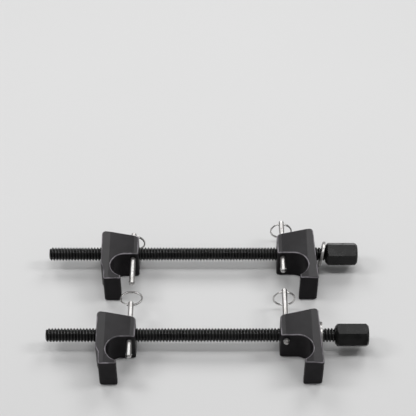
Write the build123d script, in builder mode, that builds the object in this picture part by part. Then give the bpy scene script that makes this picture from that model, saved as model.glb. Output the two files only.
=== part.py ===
from build123d import *
import os
from math import cos, radians, sin, sqrt

# A pair of coil spring compressors lying side by side on the flat flanks of their jaws.
# +X runs along the screws towards the hexagon heads, +Y away from the hooks, +Z up.
# The origin is on the resting surface, under the middle of the pair.

# Screw
screw_length = 359.0
rod_diameter = 15.5
thread_pitch = 3.5
rod_end_chamfer = 0.5 * thread_pitch

# Hexagon drive head, a long nut locked on the rod with a roll pin
hex_across_flats = 24.0
hex_length = 37.0
hex_inner_face_radius = 9.4
hex_inner_cone_length = 3.5
hex_outer_face_radius = 10.6
hex_outer_cone_length = 3.0
hex_bore_clearance = 0.05
rod_recess_in_hex = 1.5
roll_pin_diameter = 4.0
roll_pin_wall = 0.8
roll_pin_clearance = 0.02
roll_pin_recess = 0.3
roll_pin_slot = 0.9
roll_pin_angle = 30.0
roll_pin_distance = 17.0

# Thrust washer
washer_outer_diameter = 30.0
washer_inner_diameter = 17.0
washer_rim_chamfer = 0.3
washer_lean_towards = 38.0
washer_thickness = 3.0

# Jaws: the rod runs through the middle of their thickness
jaw_thickness = 42.0
rod_height = jaw_thickness / 2
jaw_bore_clearance = 0.06
bore_mouth_chamfer = 0.8
head_spot_face_diameter = 32.0
head_spot_face_from_middle = 21.5
rim_radius = 1.8
nose_slope_width = 5.5
nose_slope_drop = 1.0

# Safety pins: each runs along Y through a jaw's nose and closes the mouth of its throat
pin_diameter = 6.2
pin_length = 75.0
pin_hole_clearance = 0.08
pin_over_rod = 11.8
pin_from_jaw_middle = 15.0
pin_back_chamfer = 0.5
pin_tip_chamfer = 1.4

# Split rings
ring_radius = 12.1
ring_wire_width = 1.7
ring_coils_thickness = 2.0
ring_wire_chamfer = 0.35
ring_hole_radius = 1.6
ring_hole_from_back = 3.5

# Ball detents near the pin's tip: two balls, pushed apart by one spring
ball_radius = 1.25
ball_stand_out = 0.7
ball_hole_radius = 1.32
ball_mouth_radius = 1.21
ball_mouth_depth = 0.2
ball_from_tip = 4.0
detent_wire_radius = 0.17
detent_coil_radius = 0.85
detent_turns = 4
detent_end_play = 0.1

# Where things stand. Each unit's rod is shifted a little along X, and the rear unit's jaws
# lie level with the front unit's. A washer leans towards its back and top rim. A pin's reach
# is how far its back end is from the rod axis. A ring's swing is 0 where it hangs straight
# down, and negative where it is flipped up behind its pin.
unit_shift = 2.25
travel_jaw_x = -98.5
head_jaw_x = 104.7
front_unit_y = -51.45
rear_unit_y = 65.05

travel_jaw_shape = {
    "nose_inner": 21.5,
    "back_at_inner": 10.4,
    "nose_front": 16.9,
    "throat_middle": 5.8,
    "throat_radius": 15.5,
    "lip": 2.2,
    "arm_front": 52.5,
    "outer_side": [(-17.6, -52.5), (-18.1, -37.0), (-21.4, -29.5), (-22.0, 19.6)],
    "outer_radii": [2.5, 3.0, 3.0, 4.0],
    "outer_slope_width": 10.0,
    "outer_slope_drop": 1.0,
}
head_jaw_shape = {
    "nose_inner": 21.4,
    "back_at_inner": 13.0,
    "nose_front": 15.0,
    "throat_middle": 2.8,
    "throat_radius": 16.0,
    "lip": -3.5,
    "arm_front": 51.4,
    "outer_side": [(-24.6, -51.4), (-21.2, 23.6)],
    "outer_radii": [2.5, 4.0],
    "outer_slope_width": 8.0,
    "outer_slope_drop": 0.8,
}
nose_corner_radius = 2.0
back_corner_radius = 4.5
lip_corner_radius = 1.6

units = {
    "front": {
        "x": unit_shift,
        "y": front_unit_y,
        "washer_x": 128.6,
        "washer_lean": 0.0,
        "hex_turn": 0.0,
        "pin_reach": {"travel": 36.5, "head": 54.7},
        "ring_swing": {"travel": -74.0, "head": 0.0},
    },
    "rear": {
        "x": -unit_shift,
        "y": rear_unit_y,
        "washer_x": 136.0,
        "washer_lean": 12.5,
        "hex_turn": 19.0,
        "pin_reach": {"travel": 20.2, "head": 38.9},
        "ring_swing": {"travel": 0.0, "head": 0.0},
    },
}


def across(x, y, z):
    """A plane square to the rod: its own x is +Y, its own y is +Z."""
    return Plane(origin=(x, y, z), x_dir=(0, 1, 0), z_dir=(1, 0, 0))


def along_pin(x, y, z):
    """A plane square to a safety pin, facing +Y."""
    return Plane(origin=(x, y, z), x_dir=(1, 0, 0), z_dir=(0, 1, 0))


def save(part, name):
    part.label = name
    export_step(part, f"parts/{name}.step")


def make_rod(unit):
    start_x = unit["x"] - screw_length / 2
    rod_length = screw_length - rod_recess_in_hex
    with BuildPart() as threaded_rod:
        with BuildSketch(across(start_x, unit["y"], rod_height)):
            Circle(rod_diameter / 2)
        extrude(amount=rod_length)
        chamfer(threaded_rod.edges().filter_by(GeomType.CIRCLE), rod_end_chamfer)
        with BuildSketch(roll_pin_plane(unit)):
            Circle(roll_pin_diameter / 2)
        extrude(amount=hex_across_flats, both=True, mode=Mode.SUBTRACT)
    return threaded_rod.part


def roll_pin_plane(unit):
    """The roll pin crosses the head between two of its flats."""
    middle_x = unit["x"] + screw_length / 2 - roll_pin_distance
    lean = radians(roll_pin_angle + unit["hex_turn"])
    return Plane(
        origin=(middle_x, unit["y"], rod_height), x_dir=(1, 0, 0), z_dir=(0, cos(lean), sin(lean))
    )


def make_drive_hex(unit):
    inner_x = unit["x"] + screw_length / 2 - hex_length
    corner_radius = hex_across_flats / sqrt(3)
    with BuildPart() as drive_hex:
        with BuildSketch(across(inner_x, unit["y"], rod_height)):
            RegularPolygon(hex_across_flats / 2, 6, major_radius=False, rotation=unit["hex_turn"])
        extrude(amount=hex_length)
        # the corners are turned off to a cone at each end
        side_view = Plane(origin=(inner_x, unit["y"], rod_height), x_dir=(1, 0, 0), z_dir=(0, -1, 0))
        with BuildSketch(side_view):
            with BuildLine():
                Polyline(
                    (0, 0),
                    (0, hex_inner_face_radius),
                    (hex_inner_cone_length, corner_radius),
                    (hex_length - hex_outer_cone_length, corner_radius),
                    (hex_length, hex_outer_face_radius),
                    (hex_length, 0),
                    close=True,
                )
            make_face()
        revolve(axis=Axis((inner_x, unit["y"], rod_height), (1, 0, 0)), mode=Mode.INTERSECT)
        with BuildSketch(across(inner_x, unit["y"], rod_height)):
            Circle(rod_diameter / 2 + hex_bore_clearance)
        extrude(amount=hex_length, mode=Mode.SUBTRACT)
        with BuildSketch(roll_pin_plane(unit)):
            Circle(roll_pin_diameter / 2)
        extrude(amount=hex_across_flats, both=True, mode=Mode.SUBTRACT)
    return drive_hex.part


def make_roll_pin(unit):
    """A spring steel tube with a slot along one side."""
    outer_radius = roll_pin_diameter / 2 - roll_pin_clearance
    with BuildPart() as roll_pin:
        with BuildSketch(roll_pin_plane(unit)):
            Circle(outer_radius)
            Circle(outer_radius - roll_pin_wall, mode=Mode.SUBTRACT)
            with Locations((outer_radius, 0)):
                Rectangle(roll_pin_diameter, roll_pin_slot, mode=Mode.SUBTRACT)
        extrude(amount=hex_across_flats / 2 - roll_pin_recess, both=True)
    return roll_pin.part


def make_washer(unit):
    """The washer hangs loose on the rod, upright or leaning over."""
    lean = radians(unit["washer_lean"])
    towards = radians(washer_lean_towards)
    facing = (cos(lean), -sin(lean) * cos(towards), -sin(lean) * sin(towards))
    middle = Plane(origin=(unit["washer_x"], unit["y"], rod_height), z_dir=facing)
    with BuildPart() as washer:
        with BuildSketch(middle):
            Circle(washer_outer_diameter / 2)
            Circle(washer_inner_diameter / 2, mode=Mode.SUBTRACT)
        extrude(amount=washer_thickness / 2, both=True)
        chamfer(washer.edges().filter_by(GeomType.CIRCLE), washer_rim_chamfer)
    return washer.part


def make_jaw(shape, middle_x, unit, side):
    """A forged hook: side is +1 where its throat opens towards +X, and -1 towards -X."""
    lip_drop = sqrt(shape["throat_radius"] ** 2 - (shape["lip"] - shape["throat_middle"]) ** 2)
    throat_y = -(shape["nose_front"] + shape["throat_radius"])
    throat_top = (side * shape["throat_middle"], -shape["nose_front"])
    throat_deepest = (side * (shape["throat_middle"] - shape["throat_radius"]), throat_y)
    lip_tip = (side * shape["lip"], throat_y - lip_drop)
    outer_side = [(side * u, v) for u, v in shape["outer_side"]]
    flank = Plane(origin=(middle_x, unit["y"], 0))
    with BuildPart() as jaw:
        with BuildSketch(flank):
            with BuildLine():
                FilletPolyline(
                    throat_top,
                    (side * shape["nose_inner"], -shape["nose_front"]),
                    (side * shape["nose_inner"], shape["back_at_inner"]),
                    *reversed(outer_side),
                    (side * shape["lip"], -shape["arm_front"]),
                    lip_tip,
                    radius=[
                        nose_corner_radius,
                        back_corner_radius,
                        *reversed(shape["outer_radii"]),
                        lip_corner_radius,
                    ],
                )
                ThreePointArc(lip_tip, throat_deepest, throat_top)
            make_face()
        extrude(amount=jaw_thickness)
        # both flanks slope away a little towards the outer side and the nose's end
        slopes = (
            (shape["outer_side"][-1][0], shape["outer_slope_width"], shape["outer_slope_drop"]),
            (shape["nose_inner"], -nose_slope_width, nose_slope_drop),
        )
        end_view = Plane(origin=(middle_x, unit["y"], rod_height), x_dir=(1, 0, 0), z_dir=(0, -1, 0))
        with BuildSketch(end_view):
            for edge_u, width, drop in slopes:
                start = side * (edge_u + width)
                end = side * (edge_u - width)
                for up in (1, -1):
                    flank_z = up * jaw_thickness / 2
                    with BuildLine():
                        Polyline(
                            (start, flank_z),
                            (end, flank_z - 2 * up * drop),
                            (end, flank_z + up),
                            (start, flank_z + up),
                            close=True,
                        )
                    make_face()
        extrude(amount=2 * jaw_thickness, both=True, mode=Mode.SUBTRACT)
        rims = jaw.edges().filter_by(Axis.Z, reverse=True) - jaw.edges().filter_by(is_crease)
        fillet(rims, rim_radius)
        # the bore for the rod, and the safety pin's hole beside it
        with BuildSketch(across(middle_x, unit["y"], rod_height)):
            Circle(rod_diameter / 2 + jaw_bore_clearance)
        extrude(amount=jaw_thickness, both=True, mode=Mode.SUBTRACT)
        with BuildSketch(along_pin(pin_x(middle_x, side), unit["y"], rod_height + pin_over_rod)):
            Circle(pin_diameter / 2 + pin_hole_clearance)
        extrude(amount=jaw_thickness, both=True, mode=Mode.SUBTRACT)
        if shape is head_jaw_shape:
            # the thrust washer's seat is faced square to the rod
            with BuildSketch(across(middle_x + head_spot_face_from_middle, unit["y"], rod_height)):
                Circle(head_spot_face_diameter / 2)
            extrude(amount=jaw_thickness, mode=Mode.SUBTRACT)
        chamfer(jaw.edges().filter_by(is_bore_mouth), bore_mouth_chamfer)
    return jaw.part


def is_crease(edge):
    """A crease runs along Y on a flank, between two nearly level faces."""
    size = edge.bounding_box().size
    return size.X < 0.001 and size.Z < 0.001


def is_bore_mouth(edge):
    bore_radius = rod_diameter / 2 + jaw_bore_clearance
    return edge.geom_type == GeomType.CIRCLE and abs(edge.radius - bore_radius) < 0.001


def pin_x(middle_x, side):
    return middle_x + side * pin_from_jaw_middle


def make_pin(x, back_y):
    tip_y = back_y - pin_length
    z = rod_height + pin_over_rod
    with BuildPart() as pin:
        with BuildSketch(along_pin(x, tip_y, z)):
            Circle(pin_diameter / 2)
        extrude(amount=pin_length)
        rims = pin.edges().filter_by(GeomType.CIRCLE).sort_by(Axis.Y)
        chamfer(rims[0], pin_tip_chamfer)
        chamfer(rims[-1], pin_back_chamfer)
        with BuildSketch(across(x, back_y - ring_hole_from_back, z)):
            Circle(ring_hole_radius)
        extrude(amount=pin_diameter, both=True, mode=Mode.SUBTRACT)
        # the ball's hole is a little narrower at its two staked mouths
        with BuildSketch(across(x, tip_y + ball_from_tip, z)):
            Circle(ball_hole_radius)
        extrude(amount=pin_diameter / 2 - ball_mouth_depth, both=True, mode=Mode.SUBTRACT)
        with BuildSketch(across(x, tip_y + ball_from_tip, z)):
            Circle(ball_mouth_radius)
        extrude(amount=pin_diameter, both=True, mode=Mode.SUBTRACT)
    return pin.part


def make_ring(x, back_y, swing):
    """A split ring, its two coils closed up, held in the hole near the pin's back end."""
    turn = radians(swing)
    hole_y = back_y - ring_hole_from_back
    hole_z = rod_height + pin_over_rod
    middle = (x, hole_y - ring_radius * sin(turn), hole_z - ring_radius * cos(turn))
    to_hole = (0, sin(turn), cos(turn))
    with BuildPart() as ring:
        with BuildSketch(Plane(origin=middle, x_dir=to_hole, z_dir=(1, 0, 0))):
            with Locations((ring_radius, 0)):
                wire = Rectangle(ring_wire_width, ring_coils_thickness)
            chamfer(wire.vertices(), ring_wire_chamfer)
        revolve(axis=Axis(middle, (0, cos(turn), -sin(turn))))
    return ring.part


def make_ball(x, back_y, side):
    middle_from_axis = pin_diameter / 2 + ball_stand_out - ball_radius
    ball_y = back_y - pin_length + ball_from_tip
    with BuildPart() as ball:
        with Locations((x + side * middle_from_axis, ball_y, rod_height + pin_over_rod)):
            Sphere(ball_radius)
    return ball.part


def make_detent_spring(x, back_y):
    """The coil spring that lies between the two balls of a detent."""
    between_balls = 2 * (pin_diameter / 2 + ball_stand_out - 2 * ball_radius)
    height = between_balls - 2 * detent_wire_radius - detent_end_play
    ball_y = back_y - pin_length + ball_from_tip
    start = (x - height / 2, ball_y, rod_height + pin_over_rod)
    with BuildPart() as detent_spring:
        with BuildLine() as coil:
            Helix(
                pitch=height / detent_turns,
                height=height,
                radius=detent_coil_radius,
                center=start,
                direction=(1, 0, 0),
            )
        with BuildSketch(coil.line ^ 0):
            RegularPolygon(detent_wire_radius, 4)
        sweep(path=coil.line)
    return detent_spring.part


os.makedirs("parts", exist_ok=True)

jaws = {"travel": (travel_jaw_shape, travel_jaw_x, 1), "head": (head_jaw_shape, head_jaw_x, -1)}

for unit_name, unit in units.items():
    save(make_rod(unit), f"{unit_name}_threaded_rod")
    save(make_drive_hex(unit), f"{unit_name}_drive_hex")
    save(make_roll_pin(unit), f"{unit_name}_roll_pin")
    save(make_washer(unit), f"{unit_name}_thrust_washer")
    for jaw_name, (shape, middle_x, side) in jaws.items():
        name = f"{unit_name}_{jaw_name}"
        x = pin_x(middle_x, side)
        back_y = unit["y"] + unit["pin_reach"][jaw_name]
        swing = unit["ring_swing"][jaw_name]
        save(make_jaw(shape, middle_x, unit, side), f"{name}_jaw")
        save(make_pin(x, back_y), f"{name}_pin")
        save(make_ring(x, back_y, swing), f"{name}_split_ring")
        save(make_ball(x, back_y, -1), f"{name}_left_ball")
        save(make_ball(x, back_y, 1), f"{name}_right_ball")
        save(make_detent_spring(x, back_y), f"{name}_detent_spring")
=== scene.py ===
import math
import bpy
import bmesh
from mathutils import Matrix, Vector


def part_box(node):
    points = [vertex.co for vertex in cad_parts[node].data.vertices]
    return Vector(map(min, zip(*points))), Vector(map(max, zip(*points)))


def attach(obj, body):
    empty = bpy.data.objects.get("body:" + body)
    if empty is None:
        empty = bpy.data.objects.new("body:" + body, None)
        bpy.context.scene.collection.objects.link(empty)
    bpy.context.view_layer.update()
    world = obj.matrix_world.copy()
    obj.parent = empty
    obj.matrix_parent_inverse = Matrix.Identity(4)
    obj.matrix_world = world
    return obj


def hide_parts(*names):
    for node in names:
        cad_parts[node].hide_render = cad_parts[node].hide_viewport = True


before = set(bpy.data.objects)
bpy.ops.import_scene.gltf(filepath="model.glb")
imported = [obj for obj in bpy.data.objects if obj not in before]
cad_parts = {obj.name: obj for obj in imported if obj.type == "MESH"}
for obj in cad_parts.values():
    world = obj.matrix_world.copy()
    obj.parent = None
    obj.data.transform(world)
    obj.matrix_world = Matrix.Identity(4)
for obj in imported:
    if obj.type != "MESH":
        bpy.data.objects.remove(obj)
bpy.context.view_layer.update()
scene = bpy.context.scene
scene.view_settings.view_transform = "Standard"
mm = 0.001  # sizes are written in millimetres and multiplied by this
alongRod = Vector((1, 0, 0))
alongPin = Vector((0, 1, 0))
units = ("front", "rear")
jaws = ("travel", "head")
print("frame loaded:", len(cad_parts), "nodes")


class Value:  # a shader socket that ordinary maths can be written on
    def __init__(self, tree, socket):
        self.tree = tree
        self.socket = socket

    def node(self, kind, settings=None, inputs=None, out=0):
        made = self.tree.nodes.new("ShaderNode" + kind)
        for name, setting in (settings or {}).items():
            setattr(made, name, setting)
        for name, value in (inputs or {}).items():
            plug(self.tree, made.inputs[name], value)
        return Value(self.tree, made.outputs[out])

    def maths(self, operation, first, second=0):
        return self.node("Math", {"operation": operation}, {0: first, 1: second})

    def __add__(self, other):
        return self.maths("ADD", self, other)

    def __rsub__(self, other):
        return self.maths("SUBTRACT", other, self)

    def __mul__(self, other):
        return self.maths("MULTIPLY", self, other)

    __radd__ = __add__
    __rmul__ = __mul__

    def stretched(self, x, y, z):  # the same place, scaled along each axis
        return self.node("VectorMath", {"operation": "MULTIPLY"}, {0: self, 1: (x, y, z)})

    def noise(self, scale, detail=2.0):
        return self.node("TexNoise", None, {"Vector": self, "Scale": scale, "Detail": detail})

    def between(self, low, high):  # 0 below low, 1 above high
        settings = {"interpolation_type": "SMOOTHSTEP"}
        return self.node("MapRange", settings, {"Value": self, "From Min": low, "From Max": high})

    def mixed(self, first, second):  # first where this is 0, second where it is 1
        return self.node("Mix", {"data_type": "RGBA"}, {0: self, 6: first, 7: second}, out=2)

    def component(self, axis):
        return self.node("SeparateXYZ", None, {0: self}, out="XYZ".index(axis))

    def unsigned(self):
        return self.maths("ABSOLUTE", self)

    def bump(self, distance, strength=1.0):
        return self.node("Bump", None, {"Height": self, "Distance": distance, "Strength": strength})


def plug(tree, socket, value):
    if isinstance(value, Value):
        tree.links.new(value.socket, socket)
    else:
        socket.default_value = value


def newMaterial(name, finish):  # finish gets the place on the object and returns what the surface takes
    material = bpy.data.materials.new(name)
    material.use_nodes = True
    tree = material.node_tree
    place = Value(tree, tree.nodes.new("ShaderNodeTexCoord").outputs["Object"])
    skin = tree.nodes["Principled BSDF"]
    for socket, value in finish(place).items():
        plug(tree, skin.inputs[socket], value)
    return material


def grey(level, warm=0.0):
    return (level * (1 + warm), level, level * (1 - warm), 1)


jawPaint = {
    "dark": (0.0105, 0.0095, 0.0107, 1),
    "pale": (0.0165, 0.0150, 0.0168, 1),
    "wornAndHighlight": (0.230, 0.214, 0.236, 1),  # where the rims are rubbed, with a painted highlight along them
    "leastWearAndHighlight": 0.25,
    "roughness": 0.3,
    "gloss": 0.07,
    "flankCoat": 0.26,  # the flanks are smoother than the walls, the rims smoothest
    "coatRoughness": 0.22,
    "cloudScale": 45,
    "castScale": 60,
    "peelScale": 700,
    "wearAndHighlightScale": 75,
    "castDepth": 0.5,
}


def blackPaint(place):  # stoved enamel over a forging; along the rims of its flanks paler from rubbing wear and a painted highlight, and shinier
    cloud = place.noise(jawPaint["cloudScale"], 4).between(0.3, 0.7)
    cast = place.noise(jawPaint["castScale"], 3)
    peel = place.noise(jawPaint["peelScale"], 2)
    upright = place.node("TexCoord", out="Normal").component("Z").unsigned()  # 1 on a flank, 0 on a wall
    flank = upright.between(0.93, 0.975)
    rim = upright.between(0.3, 0.6) * (1 - flank)
    patches = place.noise(jawPaint["wearAndHighlightScale"], 3).between(0.38, 0.62)
    # the rims' paler colour is partly rubbed paint and partly a painted highlight for the light their
    # rounded edges catch
    wearAndHighlight = rim * (jawPaint["leastWearAndHighlight"] + (1 - jawPaint["leastWearAndHighlight"]) * patches)
    return {
        "Base Color": wearAndHighlight.mixed(cloud.mixed(jawPaint["dark"], jawPaint["pale"]), jawPaint["wornAndHighlight"]),
        "Roughness": jawPaint["roughness"] + 0.08 * cloud,
        "Specular IOR Level": jawPaint["gloss"],
        "Coat Weight": rim + jawPaint["flankCoat"] * flank,
        "Coat Roughness": jawPaint["coatRoughness"],
        "Normal": (cast + 0.05 * peel).bump(jawPaint["castDepth"] * mm, 0.35),
    }


rodFinish = {"dark": 0.003, "pale": 0.007, "wornAndHighlight": 0.014, "roughness": 0.25, "gloss": 0.15, "oil": 0.8}


def blackOxide(place):  # oiled black oxide, paler along the thread's crest from rubbing wear and a painted highlight
    cloud = place.noise(120, 3).between(0.35, 0.65)
    crest = place.node("Attribute", {"attribute_name": "crest"}, out="Fac").between(0.8, 1.0)
    oxide = cloud.mixed(grey(rodFinish["dark"]), grey(rodFinish["pale"]))
    return {
        # the crests' paler colour is partly wear and partly a painted highlight
        "Base Color": crest.mixed(oxide, grey(rodFinish["wornAndHighlight"])),
        "Roughness": rodFinish["roughness"] + 0.12 * cloud,
        "Specular IOR Level": rodFinish["gloss"],
        "Coat Weight": rodFinish["oil"] * crest,
        "Coat Roughness": 0.15,
        "Normal": place.noise(900, 2).bump(0.05 * mm, 0.3),
    }


hexFinish = {"dark": 0.005, "pale": 0.010, "roughness": 0.26, "gloss": 0.2}


def blackHex(place):  # drawn bar, so its marks run along it
    drawn = place.stretched(60, 1400, 1400).noise(1, 2)
    cloud = place.noise(90, 3).between(0.35, 0.65)
    return {
        "Base Color": cloud.mixed(grey(hexFinish["dark"]), grey(hexFinish["pale"])),
        "Roughness": hexFinish["roughness"] + 0.1 * cloud,
        "Specular IOR Level": hexFinish["gloss"],
        "Normal": drawn.bump(0.04 * mm, 0.25),
    }


zincFinish = {"dark": 0.42, "pale": 0.56, "roughness": 0.28, "lines": 1800}


def turnedZinc(axis):  # bright zinc on turned steel: fine marks round the axis
    lines = [60, 60, 60]
    lines["XYZ".index(axis)] = zincFinish["lines"]

    def finish(place):
        mark = place.stretched(*lines).noise(1, 2)
        cloud = place.noise(160, 3).between(0.3, 0.7)
        return {
            "Base Color": cloud.mixed(grey(zincFinish["dark"], 0.03), grey(zincFinish["pale"], 0.01)),
            "Metallic": 1.0,
            "Roughness": zincFinish["roughness"] + 0.16 * mark,
            "Normal": mark.bump(0.03 * mm, 0.3),
        }

    return finish


def wireZinc(place):
    cloud = place.noise(300, 3)
    return {
        "Base Color": cloud.mixed(grey(0.45, 0.03), grey(0.68, 0.01)),
        "Metallic": 1.0,
        "Roughness": 0.16 + 0.18 * cloud,
    }


def hardSteel(place):
    cloud = place.noise(500, 2)
    return {
        "Base Color": cloud.mixed(grey(0.4), grey(0.6)),
        "Metallic": 1.0,
        "Roughness": 0.12 + 0.15 * cloud,
    }


def springSteel(place):
    cloud = place.noise(400, 2)
    return {
        "Base Color": cloud.mixed(grey(0.2), grey(0.4)),
        "Metallic": 1.0,
        "Roughness": 0.25 + 0.2 * cloud,
    }


materials = {
    "jaw": newMaterial("jawEnamel", blackPaint),
    "rod": newMaterial("rodOxide", blackOxide),
    "hex": newMaterial("hexOxide", blackHex),
    "pin": newMaterial("pinZinc", turnedZinc("Y")),
    "washer": newMaterial("washerZinc", turnedZinc("X")),
    "ring": newMaterial("ringZinc", wireZinc),
    "ball": newMaterial("ballSteel", hardSteel),
    "spring": newMaterial("springWire", springSteel),
}
print("materials made:", len(materials))


def finishMesh(bm, name, body, node, material, sharpAngle=35):  # the piece stands in for the node
    bmesh.ops.recalc_face_normals(bm, faces=bm.faces)
    for face in bm.faces:
        face.smooth = True
    for edge in bm.edges:
        edge.smooth = len(edge.link_faces) == 2 and edge.calc_face_angle() < math.radians(sharpAngle)
    mesh = bpy.data.meshes.new(name)
    bm.to_mesh(mesh)
    bm.free()
    piece = bpy.data.objects.new(name, mesh)
    scene.collection.objects.link(piece)
    mesh.materials.append(material)
    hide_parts(node)
    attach(piece, body)
    return piece


def closeHoles(bm):
    rims = [edge for edge in bm.edges if edge.is_boundary]
    bmesh.ops.holes_fill(bm, edges=rims, sides=0)


# screws: one coarse right-hand turn, copied along the rod, then cut off square and chamfered at both ends
thread = {
    "pitch": 3.5,
    "depth": 1.65,
    "crest": 0.7,  # flat on top
    "easing": 0.25,  # small slope between the crest's flat and the flank
    "easingDrop": 0.15,
    "flank": 0.75,
    "stepsPerTurn": 48,
    "endChamfer": 1.75,
    "spareTurns": 2,  # beyond each end, cut off again
    "merge": 0.02,
}


def makeThread(unit):
    node = unit + "_threaded_rod"
    low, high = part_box(node)
    middle = (low + high) / 2
    crestRadius = (high.z - low.z) / 2
    rootRadius = crestRadius - thread["depth"] * mm
    easedRadius = crestRadius - thread["easingDrop"] * mm
    eased = thread["crest"] + thread["easing"]
    profile = [
        (0, crestRadius),
        (thread["crest"] * mm, crestRadius),
        (eased * mm, easedRadius),
        ((eased + thread["flank"]) * mm, rootRadius),
        ((thread["pitch"] - thread["easing"] - thread["flank"]) * mm, rootRadius),
        ((thread["pitch"] - thread["easing"]) * mm, easedRadius),
        (thread["pitch"] * mm, crestRadius),
    ]
    pitch = thread["pitch"] * mm
    steps = thread["stepsPerTurn"]
    spare = thread["spareTurns"] * pitch
    startX = low.x - spare
    bm = bmesh.new()
    corners = [bm.verts.new((startX + x, middle.y, middle.z + r)) for x, r in profile]
    edges = [bm.edges.new(pair) for pair in zip(corners, corners[1:])]
    bmesh.ops.spin(
        bm, geom=corners + edges, cent=middle, axis=alongRod,
        angle=math.radians(360), steps=steps, dvec=(pitch / steps, 0, 0),
    )
    turns = 1
    while turns * pitch < high.x - low.x + 2 * spare:  # each copy doubles the length
        everything = bm.verts[:] + bm.edges[:] + bm.faces[:]
        copied = bmesh.ops.duplicate(bm, geom=everything)["geom"]
        copiedVerts = [v for v in copied if isinstance(v, bmesh.types.BMVert)]
        bmesh.ops.translate(bm, verts=copiedVerts, vec=(turns * pitch, 0, 0))
        turns *= 2
    for end, outward in ((low.x, -alongRod), (high.x, alongRod)):
        everything = bm.verts[:] + bm.edges[:] + bm.faces[:]
        bmesh.ops.bisect_plane(bm, geom=everything, plane_co=(end, 0, 0), plane_no=outward, clear_outer=True)
    bmesh.ops.remove_doubles(bm, verts=bm.verts, dist=thread["merge"] * mm)
    crest = bm.verts.layers.float.new("crest")
    for v in bm.verts:
        fromEnd = min(v.co.x - low.x, high.x - v.co.x)
        limit = crestRadius - max(0, thread["endChamfer"] * mm - fromEnd)
        spoke = Vector((0, v.co.y - middle.y, v.co.z - middle.z))
        if spoke.length > limit:
            v.co += spoke.normalized() * (limit - spoke.length)
        v[crest] = (spoke.length - rootRadius) / (crestRadius - rootRadius)
    closeHoles(bm)
    finishMesh(bm, unit + "Screw", unit + "_screw", node, materials["rod"])


for unit in units:
    makeThread(unit)
print("screws made")


# drive hexagons: the solid's own form with its edges eased
hexEdges = {
    "width": 0.45,
    "segments": 3,
    "angle": 20,  # degrees; edges turned by more than this are eased
    "merge": 0.002,
    "flatWithin": 0.5,  # degrees
}


def makeDriveHex(unit):
    node = unit + "_drive_hex"
    bm = bmesh.new()
    bm.from_mesh(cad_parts[node].data)
    bmesh.ops.remove_doubles(bm, verts=bm.verts, dist=hexEdges["merge"] * mm)
    flat = math.radians(hexEdges["flatWithin"])
    bmesh.ops.dissolve_limit(bm, angle_limit=flat, verts=bm.verts, edges=bm.edges)
    piece = finishMesh(
        bm, unit + "DriveHex", unit + "_screw", node, materials["hex"], hexEdges["angle"]
    )
    bevel = piece.modifiers.new("easedEdges", "BEVEL")
    bevel.width = hexEdges["width"] * mm
    bevel.segments = hexEdges["segments"]
    bevel.limit_method = "ANGLE"
    bevel.angle_limit = math.radians(hexEdges["angle"])
    bevel.harden_normals = True


for unit in units:
    makeDriveHex(unit)
print("drive hexagons made")


# split rings: two coils of flat wire, closed up, that step across beside the pin
splitRing = {
    "wireWidth": 1.7,
    "wireThickness": 0.96,
    "bothCoils": 2.0,  # their thickness together
    "corner": 0.3,
    "cornerSegments": 2,
    "startPastTop": 22,  # degrees; the pin's hole is at the top
    "firstCoil": 318,
    "step": 40,
    "secondCoil": 318,
    "degreesPerStep": 6,
    "flippedBack": {"frontTravelRing": 74},  # degrees up from hanging
}


def makeSplitRing(unit, jaw):
    name = unit + jaw.capitalize() + "Ring"
    node = unit + "_" + jaw + "_split_ring"
    low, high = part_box(node)
    middle = (low + high) / 2
    width = splitRing["wireWidth"] * mm
    thickness = splitRing["wireThickness"] * mm
    across = splitRing["bothCoils"] * mm - thickness  # from the first coil's middle to the second's
    coilRadius = (high.x - low.x) / 2 - width / 2
    bm = bmesh.new()
    bmesh.ops.create_grid(bm, x_segments=1, y_segments=1, size=0.5)
    bmesh.ops.scale(bm, vec=(width, thickness, 1), verts=bm.verts)
    bmesh.ops.bevel(
        bm, geom=bm.verts, offset=splitRing["corner"] * mm, offset_type="OFFSET", affect="VERTICES",
        segments=splitRing["cornerSegments"], profile=0.5, material=-1, clamp_overlap=True,
    )
    bmesh.ops.translate(bm, verts=bm.verts, vec=(middle.x + coilRadius, middle.y - across / 2, middle.z))
    pastTop = Matrix.Rotation(math.radians(-90 - splitRing["startPastTop"]), 3, alongPin)
    bmesh.ops.rotate(bm, verts=bm.verts, cent=middle, matrix=pastTop)
    end = bm.verts[:] + bm.edges[:] + bm.faces[:]
    sweeps = [(splitRing["firstCoil"], 0), (splitRing["step"], across), (splitRing["secondCoil"], 0)]
    for sweep, stepAcross in sweeps:
        steps = round(sweep / splitRing["degreesPerStep"])
        end = bmesh.ops.spin(
            bm, geom=end, cent=middle, axis=alongPin, angle=math.radians(sweep), steps=steps,
            dvec=(0, stepAcross / steps, 0),
        )["geom_last"]
    closeHoles(bm)
    flip = Matrix.Rotation(math.radians(splitRing["flippedBack"].get(name, 0)), 3, alongRod)
    bmesh.ops.rotate(bm, verts=bm.verts, cent=middle, matrix=flip)
    finishMesh(bm, name, unit + "_" + jaw + "_ring", node, materials["ring"])


for unit in units:
    for jaw in jaws:
        makeSplitRing(unit, jaw)
print("split rings made")


# the rest keeps the solids' own surfaces and gets its finish here
solidFinishes = {
    "jaw": "jaw",
    "pin": "pin",
    "detent_spring": "spring",
    "left_ball": "ball",
    "right_ball": "ball",
}


def giveFinish(node, finish):
    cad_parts[node].material_slots[0].material = materials[finish]


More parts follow.
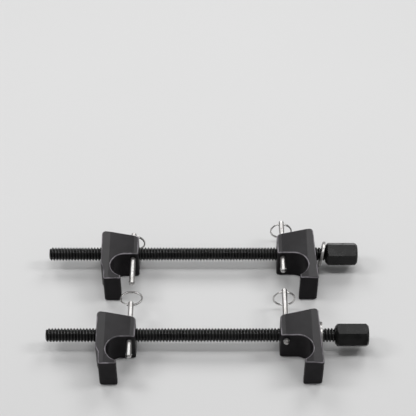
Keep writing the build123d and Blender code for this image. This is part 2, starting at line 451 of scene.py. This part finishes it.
for unit in units:
    giveFinish(unit + "_thrust_washer", "washer")
    giveFinish(unit + "_roll_pin", "spring")
    for jaw in jaws:
        for part, finish in solidFinishes.items():
            giveFinish(unit + "_" + jaw + "_" + part, finish)
print("finishes given")


# floor and lamps, in metres, then the camera
floorPaper = {"size": 6, "dark": 0.68, "pale": 0.70, "roughness": 0.9}


def paper(place):
    cloud = place.noise(3, 2)
    return {
        "Base Color": cloud.mixed(grey(floorPaper["dark"]), grey(floorPaper["pale"])),
        "Roughness": floorPaper["roughness"],
    }


bpy.ops.mesh.primitive_plane_add(size=floorPaper["size"])
floor = bpy.context.object
floor.name = "floor"
floor.data.materials.append(newMaterial("floorPaper", paper))

lamps = {
    "overhead": {"place": (0.0, -0.05, 1.8), "size": (0.9, 0.22), "power": 7},
    "left": {"place": (-1.15, 0.1, 1.35), "size": (0.35, 0.6), "power": 6},
    "right": {"place": (1.15, 0.1, 1.35), "size": (0.35, 0.6), "power": 6},
    "backLeft": {"place": (-0.68, 1.3, 1.5), "size": (0.8, 0.9), "power": 9},
    "backRight": {"place": (0.68, 1.3, 1.5), "size": (0.8, 0.9), "power": 9},
}

for name, lamp in lamps.items():
    data = bpy.data.lights.new(name, "AREA")
    data.shape = "RECTANGLE"
    data.size, data.size_y = lamp["size"]
    data.energy = lamp["power"]
    light = bpy.data.objects.new(name, data)
    light.location = lamp["place"]
    light.rotation_euler = (-Vector(lamp["place"])).to_track_quat("-Z", "Y").to_euler()
    scene.collection.objects.link(light)

world = bpy.data.worlds.new("studio")
world.use_nodes = True
sky = world.node_tree.nodes["Background"]
sky.inputs["Color"].default_value = (1, 1, 1, 1)
sky.inputs["Strength"].default_value = 0.25
scene.world = world

view = {
    "place": (3.2, -947.95, 1264.1),  # millimetres
    "pitchDown": 48.9,
    "lens": 118.5,
    "reach": 20,  # metres
}

cameraData = bpy.data.cameras.new("camera")
cameraData.lens = view["lens"]
cameraData.clip_end = view["reach"]
camera = bpy.data.objects.new("camera", cameraData)
camera.location = Vector(view["place"]) * mm
camera.rotation_euler = (math.radians(90 - view["pitchDown"]), 0, 0)
scene.collection.objects.link(camera)
scene.camera = camera
print("floor, light and camera set")
